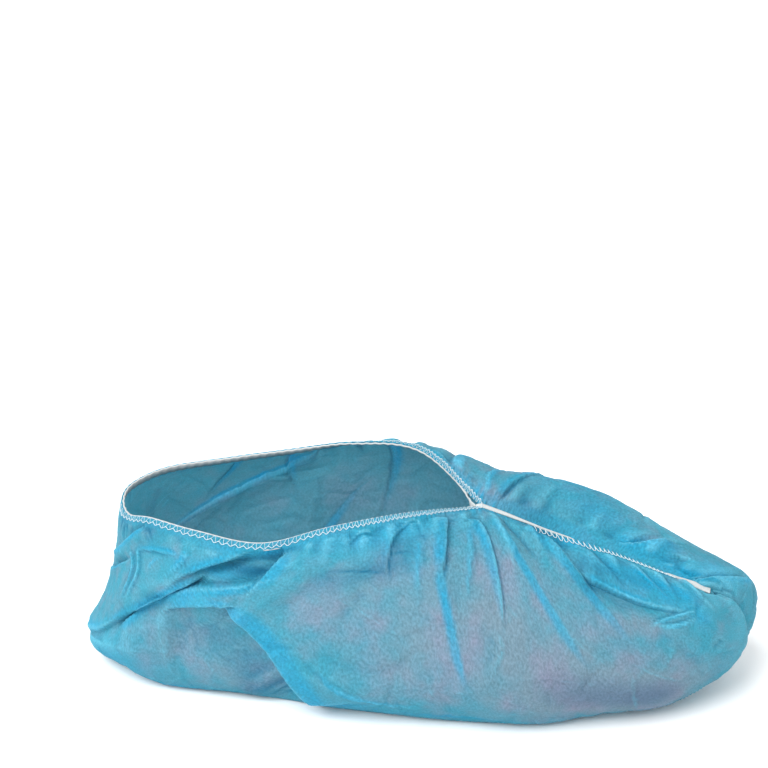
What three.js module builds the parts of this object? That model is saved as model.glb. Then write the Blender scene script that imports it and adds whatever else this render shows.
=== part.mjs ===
import * as THREE from 'three';

// Disposable sock of thin non-woven cloth: one sheet folded under the sole, gathered round an open mouth by a
// flat elastic band and closed over the toes by a straight seam that a second elastic strip covers.
// Millimetres. +X points to the toes, +Z up, -Y is the little-toe side. The sole lies on z = 0.

const clothWall = 1.2;
const columnsPerStation = 6;
const wallRows = 17;
const soleRows = 2;
const bulgeShare = 0.62;        // part of each wall above its widest point
const lowerTuck = 0.38;         // how low the wall keeps its width
const toeTuck = 0.34;           // how much sooner it turns under round the toes
const toeTuckStation = 11.2;
const toeTuckReach = 1.1;
const floorTuck = 0.4;          // how far the wall curves under before it meets the floor
const minFoldWidth = 7.5;
const stationLength = 28;
const wallLength = 95;
const heelSpineX = -114;
const toeSpineX = 104;

const bandWidth = 3.6;
const bandThickness = 0.8;
const bandLift = 0.7;
const bandSetback = 2.1;        // how far the band's turn stays behind the point of the mouth
const seatGap = 0.3;

const stripHalfWidth = 1.7;
const stripThickness = 0.8;
const stripStart = 7.17;
const stripEnd = 10.8;

const clothColor = '#4db7da';
const elasticColor = '#eef0ee';

const table = (columns, rows) => rows.map((row) => Object.fromEntries(columns.map((key, k) => [key, row[k]])));

// Mouth rim, one row a station from the middle of the heel to the point of the mouth
const rimColumns = ['x', 'out', 'z'];
const nearRim = table(rimColumns, [
  [-135.7, 0, 76],
  [-130, 13, 76],
  [-117, 25, 82],
  [-95, 33, 82],
  [-66, 36, 80],
  [-36, 33, 89],
  [-5, 22, 92],
  [24.6, 0, 85],
]);
const farRim = table(rimColumns, [
  [-135.7, 0, 76],
  [-134.5, 15, 76],
  [-121, 27, 78.5],
  [-95, 33, 82],
  [-66, 36, 87],
  [-36, 34, 94],
  [-5, 25, 97],
  [24.6, 0, 85],
]);

// Vamp seam, one row a station from the point of the mouth to the seam's end over the toes
const vampSeam = table(rimColumns, [
  [24.6, 0, 85],
  [52, 0, 75.5],
  [84, 0, 66],
  [110, 0, 56],
  [125, 0, 49],
]);

// Wall sections: how far the wall heads out and up from its top edge, its lean, its widest point, its floor edge
const sectionColumns = ['spread', 'rise', 'lean', 'bulgeX', 'bulgeOut', 'bulgeZ', 'floorX', 'floorOut'];
const nearSections = table(sectionColumns, [
  [5, -18, 1, -152, 0, 14, -136, 0],
  [6, -18, 0.9, -148.5, 21, 15, -132, 15],
  [8, -18, 0.5, -131, 34, 20, -119, 24],
  [10, -16, 0, -104, 41, 24, -96, 30],
  [10, -16, 0, -70, 46, 26, -66, 33],
  [12, -12, 0, -34, 50, 28, -34, 37],
  [14, -6, 0, 4, 52, 30, 4, 39],
  [18, 4, 0, 38, 51, 28, 38, 38],
  [18, 2, 0, 70, 46, 26, 66, 30],
  [16, -2, 0, 102, 35, 24, 94, 16],
  [12, 1, 0, 130, 19, 26, 110, 5],
  [8, 0, 0, 143, 0, 28, 115, 0],
]);
const farSections = table(sectionColumns, [
  [5, -18, 1, -152, 0, 14, -136, 0],
  [6, -18, 0.9, -148.5, 20, 15, -132, 15],
  [8, -18, 0.5, -131, 35, 20, -119, 26],
  [10, -16, 0, -104, 43, 24, -96, 32],
  [10, -14, 0, -70, 48, 28, -66, 36],
  [12, -6, 0, -34, 50, 34, -34, 38],
  [17, 2, 0, 4, 52, 40, 4, 40],
  [24, 16, 0, 38, 53, 44, 38, 43],
  [27, 21, 0, 70, 53, 46, 68, 44],
  [24, 12, 0, 105, 47.5, 39, 100, 38],
  [16, 6, 0, 142.5, 25.5, 38, 116, 20],
  [8, 0, 0, 143, 0, 28, 115, 0],
]);

// Folds: three points of each fold's line as station and drop (0 at the top edge, 1 at the floor), its height
// (below zero for a valley), its width on either side of the line, and the share of its length over which
// it fades in and out. Stations run 0 at the heel, 11 at the toes and back to 22 along the far side.
const foldColumns = ['s0', 'd0', 's1', 'd1', 's2', 'd2', 'height', 'before', 'after', 'fadeIn', 'fadeOut'];
const folds = table(foldColumns, [
  [0.7, 0.63, 2.6, 0.42, 4.5, 0.08, -8, 13, 7, 0.6, 0.3],       // pocket below the mouth at the heel
  [1.3, 0.63, 2.9, 0.38, 4.1, 0.25, 4.5, 4, 12, 0.5, 0.1],      // lip under the pocket
  [4, 0.32, 4.3, 0.18, 4.6, 0.07, 5, 6, 16, 0.4, 0.4],          // front panel's upper edge
  [3.5, 0.36, 4.2, 0.58, 5.1, 0.86, 7, 18, 3, 0.2, 0.15],       // front panel's lower edge
  [2.7, 0.53, 3.5, 0.58, 4.4, 0.82, -6, 10, 12, 0.3, 0.2],      // heel recess behind that edge
  [2.5, 0.47, 3.1, 0.44, 3.7, 0.41, -3, 4, 6, 0.3, 0.3],
  [4.6, 0.5, 5.1, 0.61, 5.5, 0.78, -3, 5, 8, 0.3, 0.2],
  [1, 0.21, 1.6, 0.11, 2.2, 0.02, 3.5, 3, 10, 0.3, 0.1],        // ridge at the top of the heel
  [0.6, 0.12, 1.2, 0.09, 1.7, 0.05, -2.5, 6, 5, 0.3, 0.3],
  [1.93, 0.16, 2.07, 0.28, 2, 0.44, -2, 3, 3, 0.2, 0.4],
  [5.37, 0.01, 5.23, 0.08, 5.15, 0.16, -2.2, 4, 4, 0.1, 0.5],   // gathers under the near rim
  [5.83, 0.01, 5.77, 0.15, 5.66, 0.27, -2.6, 4, 4, 0.1, 0.5],
  [6.22, 0.01, 6.05, 0.16, 5.92, 0.26, -2.6, 4, 4, 0.1, 0.5],
  [6.53, 0.01, 6.43, 0.3, 6.75, 0.7, 4, 3, 9, 0.05, 0.4],       // main pleat
  [6.87, 0.05, 6.8, 0.2, 6.62, 0.4, 2.2, 3, 3, 0.1, 0.5],
  [6.97, 0.05, 7.06, 0.24, 7.1, 0.46, 2.4, 3, 4, 0.1, 0.5],
  [7.27, 0.04, 7.45, 0.25, 8.2, 0.6, 3.6, 3, 8, 0.1, 0.5],      // long pleat from the point of the mouth
  [7.42, 0.04, 7.65, 0.2, 8.25, 0.38, -3, 3, 4, 0.1, 0.5],
  [7.7, 0.02, 8.2, 0.16, 8.95, 0.44, 3, 4, 6, 0.1, 0.5],
  [8.05, 0.15, 8.9, 0.24, 10, 0.31, 4.5, 12, 3, 0.3, 0.3],      // welt along the vamp seam
  [8.15, 0.23, 8.5, 0.28, 8.95, 0.31, -3, 3, 8, 0.2, 0.5],
  [9.2, 0.37, 9.8, 0.31, 10.6, 0.27, -1.8, 3, 4, 0.3, 0.3],
  [4.63, 0.5, 5.3, 0.58, 5.9, 0.5, -2, 4, 6, 0.3, 0.3],
  [6, 0.5, 6.4, 0.55, 6.8, 0.66, -1.5, 4, 5, 0.3, 0.3],
  [10.95, 0.1, 11.2, 0.36, 11.05, 0.64, -4.5, 6, 6, 0.3, 0.3],  // valley between the toe lobes
  [14, 0.02, 13.7, 0.1, 13.4, 0.14, -3, 5, 6, 0.2, 0.4],        // far side of the vamp
  [12.3, 0.02, 12.45, 0.18, 12.4, 0.36, 2.5, 4, 6, 0.2, 0.4],
  [14.2, 0.3, 13.6, 0.31, 12.9, 0.2, -2.5, 6, 8, 0.3, 0.3],
  [11.3, 0.03, 11.6, 0.2, 11.8, 0.4, 2, 4, 5, 0.2, 0.4],
  [14.8, 0.02, 14.6, 0.25, 14.2, 0.6, 1.2, 5, 9, 0.1, 0.4],     // far pleats
  [15.5, 0.02, 15.6, 0.25, 15.3, 0.62, 1.2, 9, 4, 0.1, 0.4],
  [16.2, 0.02, 16.3, 0.18, 16.5, 0.34, -2.6, 5, 5, 0.1, 0.5],
  [17.4, 0.08, 18.6, 0.3, 20.6, 0.6, -6, 8, 10, 0.4, 0.5],      // far pocket at the heel
  [17, 0.45, 17.6, 0.6, 18.2, 0.85, 4, 5, 12, 0.3, 0.3],
  [20, 0.05, 20.2, 0.3, 20, 0.55, -2.5, 5, 5, 0.2, 0.4],
]);

const lastStation = nearSections.length - 1;
const apexStation = nearRim.length - 1;
const halfColumns = lastStation * columnsPerStation;
const columnCount = halfColumns * 2;
const apexColumn = apexStation * columnsPerStation;
const rowCount = wallRows + soleRows;

const smooth = (from, to, x) => THREE.MathUtils.smoothstep(x, from, to);

// Catmull-Rom blend of the rows of a table at station u
function blend(rows, u, closed = false) {
  const count = rows.length;
  const base = Math.min(Math.floor(u), closed ? count - 1 : count - 2);
  const f = u - base;
  const at = (k) => rows[((k % count) + count) % count];
  const valueAt = (k, key) => {
    if (closed || (k >= 0 && k < count)) return at(k)[key];
    return k < 0 ? 2 * rows[0][key] - rows[1][key] : 2 * rows[count - 1][key] - rows[count - 2][key];
  };
  const result = {};
  for (const key of Object.keys(rows[0])) {
    const a = valueAt(base - 1, key);
    const b = valueAt(base, key);
    const c = valueAt(base + 1, key);
    const d = valueAt(base + 2, key);
    result[key] = 0.5 * (2 * b + (c - a) * f + (2 * a - 5 * b + 4 * c - d) * f * f + (3 * b - a - 3 * c + d) * f ** 3);
  }
  return result;
}

// Top edge: the rim round the mouth, then the vamp seam that both sides share
function topEdge(station) {
  const far = station > lastStation;
  const s = far ? 2 * lastStation - station : station;
  if (s > apexStation) {
    const { x, z } = blend(vampSeam, s - apexStation);
    return new THREE.Vector3(x, 0, z);
  }
  const [rim, otherRim] = far ? [farRim, nearRim] : [nearRim, farRim];
  const behindHeel = { ...otherRim[1], out: -otherRim[1].out };
  const { x, out, z } = blend([behindHeel, ...rim], s + 1);
  return new THREE.Vector3(x, far ? out : -out, z);
}

const mirrorOut = ({ bulgeOut, floorOut, ...rest }) => ({ ...rest, bulgeOut: -bulgeOut, floorOut: -floorOut });
const sectionLoop = [...nearSections.map(mirrorOut), ...farSections.slice(1, -1).reverse()];

// One column of the wall: a Bezier curve out to the widest point, a second one down to the floor, then the sole
function wallColumn(station) {
  const top = topEdge(station);
  const section = blend(sectionLoop, station, true);
  const bulge = new THREE.Vector3(section.bulgeX, section.bulgeOut, section.bulgeZ);
  const floor = new THREE.Vector3(section.floorX, section.floorOut, 0);
  const outward = bulge.clone().sub(top).setZ(0).normalize();
  const leave = top.clone().addScaledVector(outward, section.spread);
  leave.z += section.rise;
  const arrive = bulge.clone().add(top.clone().sub(bulge).setZ(0).multiplyScalar(section.lean));
  arrive.z += Math.max(top.z - bulge.z, 8) * 0.55 + Math.max(section.rise, 0) * 0.5;
  const tuck = lowerTuck + toeTuck * Math.exp(-(((station - toeTuckStation) / toeTuckReach) ** 2));
  const under = bulge.clone().setZ(bulge.z * tuck);
  const meet = floor.clone().add(bulge.clone().sub(floor).setZ(0).multiplyScalar(floorTuck));
  const upper = new THREE.CubicBezierCurve3(top, leave, arrive, bulge);
  const lower = new THREE.CubicBezierCurve3(bulge, under, meet, floor);
  const along = Math.min(station, 2 * lastStation - station) / lastStation;
  const spine = new THREE.Vector3(THREE.MathUtils.lerp(heelSpineX, toeSpineX, along), 0, 0);
  return { upper, lower, floor, spine };
}

const foldLines = folds.map((fold) => {
  const bendS = 2 * fold.s1 - (fold.s0 + fold.s2) / 2;
  const bendD = 2 * fold.d1 - (fold.d0 + fold.d2) / 2;
  const flat = (s, d) => new THREE.Vector2(s * stationLength, d * wallLength);
  const curve = new THREE.QuadraticBezierCurve(flat(fold.s0, fold.d0), flat(bendS, bendD), flat(fold.s2, fold.d2));
  return { fold, points: curve.getPoints(24) };
});

// Height of all folds together above the smooth wall
function foldHeight(station, drop) {
  const x = station * stationLength;
  const y = drop * wallLength;
  let sum = 0;
  for (const { fold, points } of foldLines) {
    let nearest = Infinity;
    let side = 1;
    let along = 0;
    for (let k = 0; k + 1 < points.length; k += 1) {
      const a = points[k];
      const ex = points[k + 1].x - a.x;
      const ey = points[k + 1].y - a.y;
      const share = THREE.MathUtils.clamp(((x - a.x) * ex + (y - a.y) * ey) / (ex * ex + ey * ey), 0, 1);
      const dx = x - a.x - share * ex;
      const dy = y - a.y - share * ey;
      const distance = Math.hypot(dx, dy);
      if (distance < nearest) {
        nearest = distance;
        side = Math.sign(ex * dy - ey * dx);
        along = (k + share) / (points.length - 1);
      }
    }
    const width = Math.max(side < 0 ? fold.before : fold.after, minFoldWidth);
    const fade = smooth(0, fold.fadeIn, along) * (1 - smooth(1 - fold.fadeOut, 1, along));
    sum += fold.height * Math.exp(-((nearest / width) ** 2)) * fade;
  }
  return sum * smooth(0.05, 0.13, drop) * (1 - smooth(0.84, 0.97, drop));
}

// Vertex number of a grid point: the seam and the middle of the sole are shared by both sides
function vertexId(column, row) {
  const k = ((column % columnCount) + columnCount) % columnCount;
  const mirrored = Math.min(k, columnCount - k);
  const shared = row === rowCount || (row === 0 && mirrored >= apexColumn);
  return (shared ? mirrored : k) * (rowCount + 1) + row;
}

const smoothPoint = (column, row) => {
  if (row > wallRows) return column.floor.clone().lerp(column.spine, (row - wallRows) / soleRows);
  const drop = row / wallRows;
  if (drop <= bulgeShare) return column.upper.getPoint(drop / bulgeShare);
  return column.lower.getPoint((drop - bulgeShare) / (1 - bulgeShare));
};

// Outer face of the cloth: the smooth wall moved along its own normal by the folds
function outerFace() {
  const base = [];
  for (let c = 0; c < columnCount; c += 1) {
    const column = wallColumn(c / columnsPerStation);
    base.push(Array.from({ length: rowCount + 1 }, (_, row) => smoothPoint(column, row)));
  }
  const points = new Map();
  for (let c = 0; c < columnCount; c += 1) {
    const before = base[(c + columnCount - 1) % columnCount];
    const after = base[(c + 1) % columnCount];
    for (let row = 0; row <= rowCount; row += 1) {
      const point = base[c][row].clone();
      if (row > 0 && row < wallRows) {
        const around = after[row].clone().sub(before[row]);
        const down = base[c][row + 1].clone().sub(base[c][row - 1]);
        const normal = down.cross(around).normalize();
        point.addScaledVector(normal, foldHeight(c / columnsPerStation, row / wallRows));
      }
      points.set(vertexId(c, row), point);
    }
  }
  return points;
}

// Triangles of the grid, each square cut along its shorter diagonal
function gridTriangles(points) {
  const triangles = [];
  for (let c = 0; c < columnCount; c += 1) {
    for (let row = 0; row < rowCount; row += 1) {
      const a = vertexId(c, row);
      const b = vertexId(c + 1, row);
      const d = vertexId(c, row + 1);
      const e = vertexId(c + 1, row + 1);
      const straight = points.get(a).distanceToSquared(points.get(e));
      const crossed = points.get(b).distanceToSquared(points.get(d));
      if (straight < crossed) triangles.push([a, d, e], [a, e, b]);
      else triangles.push([a, d, b], [b, d, e]);
    }
  }
  return triangles;
}

function vertexNormals(points, triangles) {
  const normals = new Map([...points.keys()].map((id) => [id, new THREE.Vector3()]));
  const face = new THREE.Triangle();
  const normal = new THREE.Vector3();
  for (const [a, b, c] of triangles) {
    face.set(points.get(a), points.get(b), points.get(c));
    face.getNormal(normal).multiplyScalar(face.getArea());
    for (const id of [a, b, c]) normals.get(id).add(normal);
  }
  normals.forEach((value) => value.normalize());
  return normals;
}

function makeGeometry(points, triangles) {
  const order = new Map([...points.keys()].map((id, k) => [id, k]));
  const geometry = new THREE.BufferGeometry();
  geometry.setAttribute('position', new THREE.Float32BufferAttribute([...points.values()].flatMap((p) => p.toArray()), 3));
  geometry.setIndex(triangles.flatMap((triangle) => triangle.map((id) => order.get(id))));
  geometry.computeVertexNormals();
  return geometry;
}

// Columns round the mouth from its point along the far side, the heel and back along the near side
const rimLoop = Array.from({ length: 2 * apexColumn }, (_, k) => columnCount - apexColumn + k);

const outer = outerFace();
const outerTriangles = gridTriangles(outer);
const outerNormals = vertexNormals(outer, outerTriangles);
const innerId = (id) => -1 - id;
const inner = new Map([...outer].map(([id, p]) => [id, p.clone().addScaledVector(outerNormals.get(id), -clothWall)]));

function clothGeometry() {
  const points = new Map(outer);
  inner.forEach((p, id) => points.set(innerId(id), p));
  const triangles = [...outerTriangles];
  for (const [a, b, c] of outerTriangles) triangles.push([innerId(a), innerId(c), innerId(b)]);
  rimLoop.forEach((column, k) => {
    const a = vertexId(column, 0);
    const b = vertexId(rimLoop[(k + 1) % rimLoop.length], 0);
    triangles.push([a, b, innerId(b)], [a, innerId(b), innerId(a)]);
  });
  return makeGeometry(points, triangles);
}

// Solid through a list of sections with the same number of corners, closed on itself or capped at both ends
function sectionSolid(sections, closed) {
  const corners = sections[0].length;
  const points = new Map(sections.flat().map((p, k) => [k, p]));
  const triangles = [];
  const spans = closed ? sections.length : sections.length - 1;
  for (let s = 0; s < spans; s += 1) {
    const next = (s + 1) % sections.length;
    for (let c = 0; c < corners; c += 1) {
      const turn = (c + 1) % corners;
      const [a, b, d, e] = [s * corners + c, s * corners + turn, next * corners + c, next * corners + turn];
      triangles.push([a, b, e], [a, e, d]);
    }
  }
  if (!closed) {
    const last = (sections.length - 1) * corners;
    const outline = sections[0].map((p, k) => k);
    const caps = outline.slice(0, corners / 2 - 1).map((k) => [k, k + 1, corners - 2 - k, corners - 1 - k]);
    for (const [a, b, c, d] of caps) {
      triangles.push([a, c, b], [a, d, c]);
      triangles.push([last + a, last + b, last + c], [last + a, last + c, last + d]);
    }
  }
  return makeGeometry(points, triangles);
}

// Mouth band: a flat elastic inside the rim, its top edge just above the cloth
function bandGeometry() {
  const sections = rimLoop.map((column) => {
    const id = vertexId(column, 0);
    const rim = inner.get(id).clone();
    const down = inner.get(vertexId(column, 1)).clone().sub(rim).normalize();
    const normal = outerNormals.get(id).clone();
    if (column === columnCount - apexColumn) {
      rim.x -= bandSetback;
      down.set(0, 0, -1);
      normal.set(1, 0, 0);
    }
    const corner = (depth, height) => rim.clone().addScaledVector(normal, -depth).addScaledVector(down, -height);
    const back = seatGap + bandThickness;
    return [
      corner(seatGap, bandLift),
      corner(back, bandLift),
      corner(back, bandLift - bandWidth),
      corner(seatGap, bandLift - bandWidth),
    ];
  });
  return sectionSolid(sections, true);
}

// Vamp strip: a shallow trough of elastic that lies on both walls along the seam
function stripGeometry() {
  const sections = [];
  const first = Math.round(stripStart * columnsPerStation);
  const last = Math.round(stripEnd * columnsPerStation);
  for (let c = first; c <= last; c += 1) {
    const seam = outer.get(vertexId(c, 0));
    const ahead = outer.get(vertexId(c + 1, 0)).clone().sub(outer.get(vertexId(c - 1, 0))).normalize();
    const near = outer.get(vertexId(c, 1)).clone().sub(seam).normalize();
    const far = outer.get(vertexId(-c, 1)).clone().sub(seam).normalize();
    const nearUp = near.clone().cross(ahead).normalize();
    const farUp = ahead.clone().cross(far).normalize();
    const middleUp = nearUp.clone().add(farUp).normalize();
    const stretch = 1 / middleUp.dot(nearUp);
    const corner = (side, up, height) => seam.clone().addScaledVector(side, stripHalfWidth).addScaledVector(up, height);
    const middle = (height) => seam.clone().addScaledVector(middleUp, height * stretch);
    const crown = seatGap + stripThickness;
    sections.push([
      corner(near, nearUp, seatGap),
      middle(seatGap),
      corner(far, farUp, seatGap),
      corner(far, farUp, crown),
      middle(crown),
      corner(near, nearUp, crown),
    ]);
  }
  return sectionSolid(sections, false);
}

// Turns a closed mesh the right way out
function faceOutward(geometry) {
  const index = geometry.getIndex();
  const position = geometry.getAttribute('position');
  const corner = (k) => new THREE.Vector3().fromBufferAttribute(position, index.getX(k));
  let volume = 0;
  for (let k = 0; k < index.count; k += 3) volume += corner(k).dot(corner(k + 1).cross(corner(k + 2)));
  if (volume < 0) {
    for (let k = 0; k < index.count; k += 3) {
      const swap = index.getX(k + 1);
      index.setX(k + 1, index.getX(k + 2));
      index.setX(k + 2, swap);
    }
    geometry.computeVertexNormals();
  }
  return geometry;
}

const cloth = new THREE.MeshStandardMaterial({ color: clothColor, roughness: 0.86, metalness: 0 });
const elastic = new THREE.MeshStandardMaterial({ color: elasticColor, roughness: 0.7, metalness: 0 });

function piece(name, geometry, material) {
  const mesh = new THREE.Mesh(faceOutward(geometry), material);
  mesh.name = name;
  return mesh;
}

const sock = new THREE.Group();
sock.name = 'disposable_sock';
sock.add(piece('fabric_cover', clothGeometry(), cloth));
sock.add(piece('mouth_elastic', bandGeometry(), elastic));
sock.add(piece('vamp_elastic', stripGeometry(), elastic));

// Origin under the middle of the whole sock
const middle = new THREE.Box3().setFromObject(sock).getCenter(new THREE.Vector3());
sock.children.forEach((mesh) => mesh.geometry.translate(-middle.x, -middle.y, 0));

export default sock;
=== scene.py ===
import math

import bpy
import numpy as np
from mathutils import Matrix, Vector


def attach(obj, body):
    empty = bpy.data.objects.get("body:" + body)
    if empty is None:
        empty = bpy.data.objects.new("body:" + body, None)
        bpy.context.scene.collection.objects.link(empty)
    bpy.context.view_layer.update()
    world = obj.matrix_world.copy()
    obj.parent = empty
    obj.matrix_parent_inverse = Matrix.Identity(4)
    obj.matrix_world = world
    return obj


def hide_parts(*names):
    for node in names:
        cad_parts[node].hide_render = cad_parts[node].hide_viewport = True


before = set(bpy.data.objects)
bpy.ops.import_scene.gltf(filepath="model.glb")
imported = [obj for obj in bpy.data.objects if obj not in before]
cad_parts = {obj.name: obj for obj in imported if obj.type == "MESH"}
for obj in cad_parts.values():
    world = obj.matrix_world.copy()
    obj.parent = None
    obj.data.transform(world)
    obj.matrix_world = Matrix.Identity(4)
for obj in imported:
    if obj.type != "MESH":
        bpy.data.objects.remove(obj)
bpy.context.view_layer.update()  # nodes fabric_cover, mouth_elastic and vamp_elastic, one body
mm = 0.001
rng = np.random.default_rng(14)

# the photograph's camera: where it stands round the sock and which pixel shows the aim point
photoShot = {
    "azimuth": 8.0,
    "elevation": 27.0,
    "distance": 1.0,
    "aimPoint": (0.0031, 0.0005, 0.040),
    "aimPixel": (424.0, 590.0),
    "imageSize": 768.0,
    "pixelsPerMetre": 2250.0,
    "sensor": 36.0,
}


# camera in the given direction from the aim point, moved sideways so that the aim point falls on its pixel
def setCamera(shot):
    turn, lift = math.radians(shot["azimuth"]), math.radians(shot["elevation"])
    back = Vector((math.sin(turn) * math.cos(lift), -math.cos(turn) * math.cos(lift), math.sin(lift)))
    right = Vector((math.cos(turn), math.sin(turn), 0.0))
    up = back.cross(right)
    middle = shot["imageSize"] / 2
    across = (shot["aimPixel"][0] - middle) / shot["pixelsPerMetre"]
    below = (shot["aimPixel"][1] - middle) / shot["pixelsPerMetre"]
    place = Vector(shot["aimPoint"]) + back * shot["distance"] - right * across + up * below
    data = bpy.data.cameras.new("photoCamera")
    data.sensor_width = shot["sensor"]
    data.lens = shot["sensor"] * shot["pixelsPerMetre"] * shot["distance"] / shot["imageSize"]
    data.clip_start, data.clip_end = 0.05, 50.0
    camera = bpy.data.objects.new("photoCamera", data)
    axes = Matrix((right, up, back)).transposed().to_4x4()
    camera.matrix_world = Matrix.Translation(place) @ axes
    bpy.context.collection.objects.link(camera)
    bpy.context.scene.camera = camera


setCamera(photoShot)
print("camera set")

# the sheet's shape in mm, a row for each station from the heel forward: x, out and z of the rim and the seam
nearRim = np.array([
    (-135.7, 0.0, 76.0), (-130.0, 13.0, 76.0), (-117.0, 25.0, 82.0), (-95.0, 33.0, 82.0),
    (-66.0, 36.0, 80.0), (-36.0, 33.0, 89.0), (-5.0, 22.0, 92.0), (24.6, 0.0, 85.0)])
farRim = np.array([
    (-135.7, 0.0, 76.0), (-134.5, 15.0, 76.0), (-121.0, 27.0, 78.5), (-95.0, 33.0, 82.0),
    (-66.0, 36.0, 87.0), (-36.0, 34.0, 94.0), (-5.0, 25.0, 97.0), (24.6, 0.0, 85.0)])
vampSeam = np.array([
    (24.6, 0.0, 85.0), (52.0, 0.0, 75.5), (84.0, 0.0, 66.0), (110.0, 0.0, 56.0), (125.0, 0.0, 49.0)])
# spread, rise, lean of the wall where it leaves its top edge, then its widest point and its floor edge
nearSections = np.array([
    (5, -18, 1.00, -152, 0, 14, -136, 0),
    (6, -18, 0.90, -148.5, 21, 15, -132, 15),
    (8, -18, 0.50, -131, 34, 20, -119, 24),
    (10, -16, 0, -104, 41, 24, -96, 30),
    (10, -16, 0, -70, 46, 26, -66, 33),
    (12, -12, 0, -34, 50, 28, -34, 37),
    (14, -6, 0, 4, 52, 30, 4, 39),
    (18, 4, 0, 38, 51, 28, 38, 38),
    (18, 2, 0, 70, 46, 26, 66, 30),
    (16, -2, 0, 102, 35, 24, 94, 16),
    (12, 1, 0, 130, 19, 26, 110, 5),
    (8, 0, 0, 143, 0, 28, 115, 0)], float)
farSections = np.array([
    (5, -18, 1.00, -152, 0, 14, -136, 0),
    (6, -18, 0.90, -148.5, 20, 15, -132, 15),
    (8, -18, 0.50, -131, 35, 20, -119, 26),
    (10, -16, 0, -104, 43, 24, -96, 32),
    (10, -14, 0, -70, 48, 28, -66, 36),
    (12, -6, 0, -34, 50, 34, -34, 38),
    (17, 2, 0, 4, 52, 40, 4, 40),
    (24, 16, 0, 38, 53, 44, 38, 43),
    (27, 21, 0, 70, 53, 46, 68, 44),
    (24, 12, 0, 105, 47.5, 39, 100, 38),
    (16, 6, 0, 142.5, 25.5, 38, 116, 20),
    (8, 0, 0, 143, 0, 28, 115, 0)], float)

cover = {
    "columns": (22, 24, 24, 24, 24, 24, 24, 24, 24, 24, 20),  # grid columns from station to station
    "wallRows": 90,
    "soleRows": 4,
    "thickness": 0.4 * mm,
    "stationMm": 28.0,
    "wallMm": 95.0,
    "bulgeShare": 0.62,      # part of each wall above its widest point
    "lowerTuck": 0.38,
    "toeTuck": 0.34,         # how much sooner the wall turns under at the toe
    "floorTuck": 0.4,
    "heelSpine": -114.0,
    "toeSpine": 104.0,
    "originShift": np.array([3.068, 0.509, 0.0]),
    "flatCut": (0.30, 0.36),
    "waveMm": 0.9,           # height of the long soft waves
    "hemMm": 6.0,            # width of the turned edge under the stitches
    "hemShare": 0.5,
    "ruffleMm": 11.0,        # reach of the fine ruffles below the edge
    "foldEdge": 0.65,        # half the width over which a crest drops to its dip
    "bandShare": 0.85,       # how much of the doubled colour shows behind a crest
    "gridPull": 0.45,        # share by which the grid closes up at the folds
    "sharpBend": 0.3,        # bend that counts as sharp, in one over mm
}
lastStation = len(nearSections) - 1
apexStation = len(nearRim) - 1
loopStations = 2 * lastStation


# stations from the heel, the same on both sides
def fromHeel(s):
    return np.minimum(s, loopStations - s)


# Catmull-Rom spline through the rows of a table at stations u
def blendRows(rows, u, closed=False):
    count = len(rows)
    if closed:
        padded = np.vstack([rows[-1:], rows, rows[:2]])
    else:
        padded = np.vstack([2 * rows[0] - rows[1], rows, 2 * rows[-1] - rows[-2]])
    base = np.clip(np.floor(u).astype(int), 0, count - 1 if closed else count - 2)
    f = (u - base)[..., None]
    a, b, c, d = (padded[base + k] for k in range(4))
    return 0.5 * (2 * b + (c - a) * f + (2 * a - 5 * b + 4 * c - d) * f**2 + (3 * b - a - 3 * c + d) * f**3)


# top edge at loop station s: the rim on either side of the mouth, or the seam that both sides share
def topEdge(s):
    far = (s > lastStation)[..., None]
    side = fromHeel(s)

    def rimAt(rim, otherRim):
        rows = np.vstack([otherRim[1] * [1, -1, 1], rim])
        return blendRows(rows, np.clip(side, 0, apexStation) + 1)

    rimPoint = np.where(far, rimAt(farRim, nearRim), rimAt(nearRim, farRim) * [1, -1, 1])
    seamPoint = blendRows(vampSeam, np.clip(side - apexStation, 0, len(vampSeam) - 1))
    return np.where((side > apexStation)[..., None], seamPoint, rimPoint)


# cubic Bezier curve from a to d with the handles b and c
def bezier(a, b, c, d, t):
    t = t[..., None]
    return (1 - t)**3 * a + 3 * (1 - t)**2 * t * b + 3 * (1 - t) * t**2 * c + t**3 * d


mirrorOut = np.array([1, 1, 1, 1, -1, 1, 1, -1.0])
sectionLoop = np.vstack([nearSections * mirrorOut, farSections[-2:0:-1]])


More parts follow.
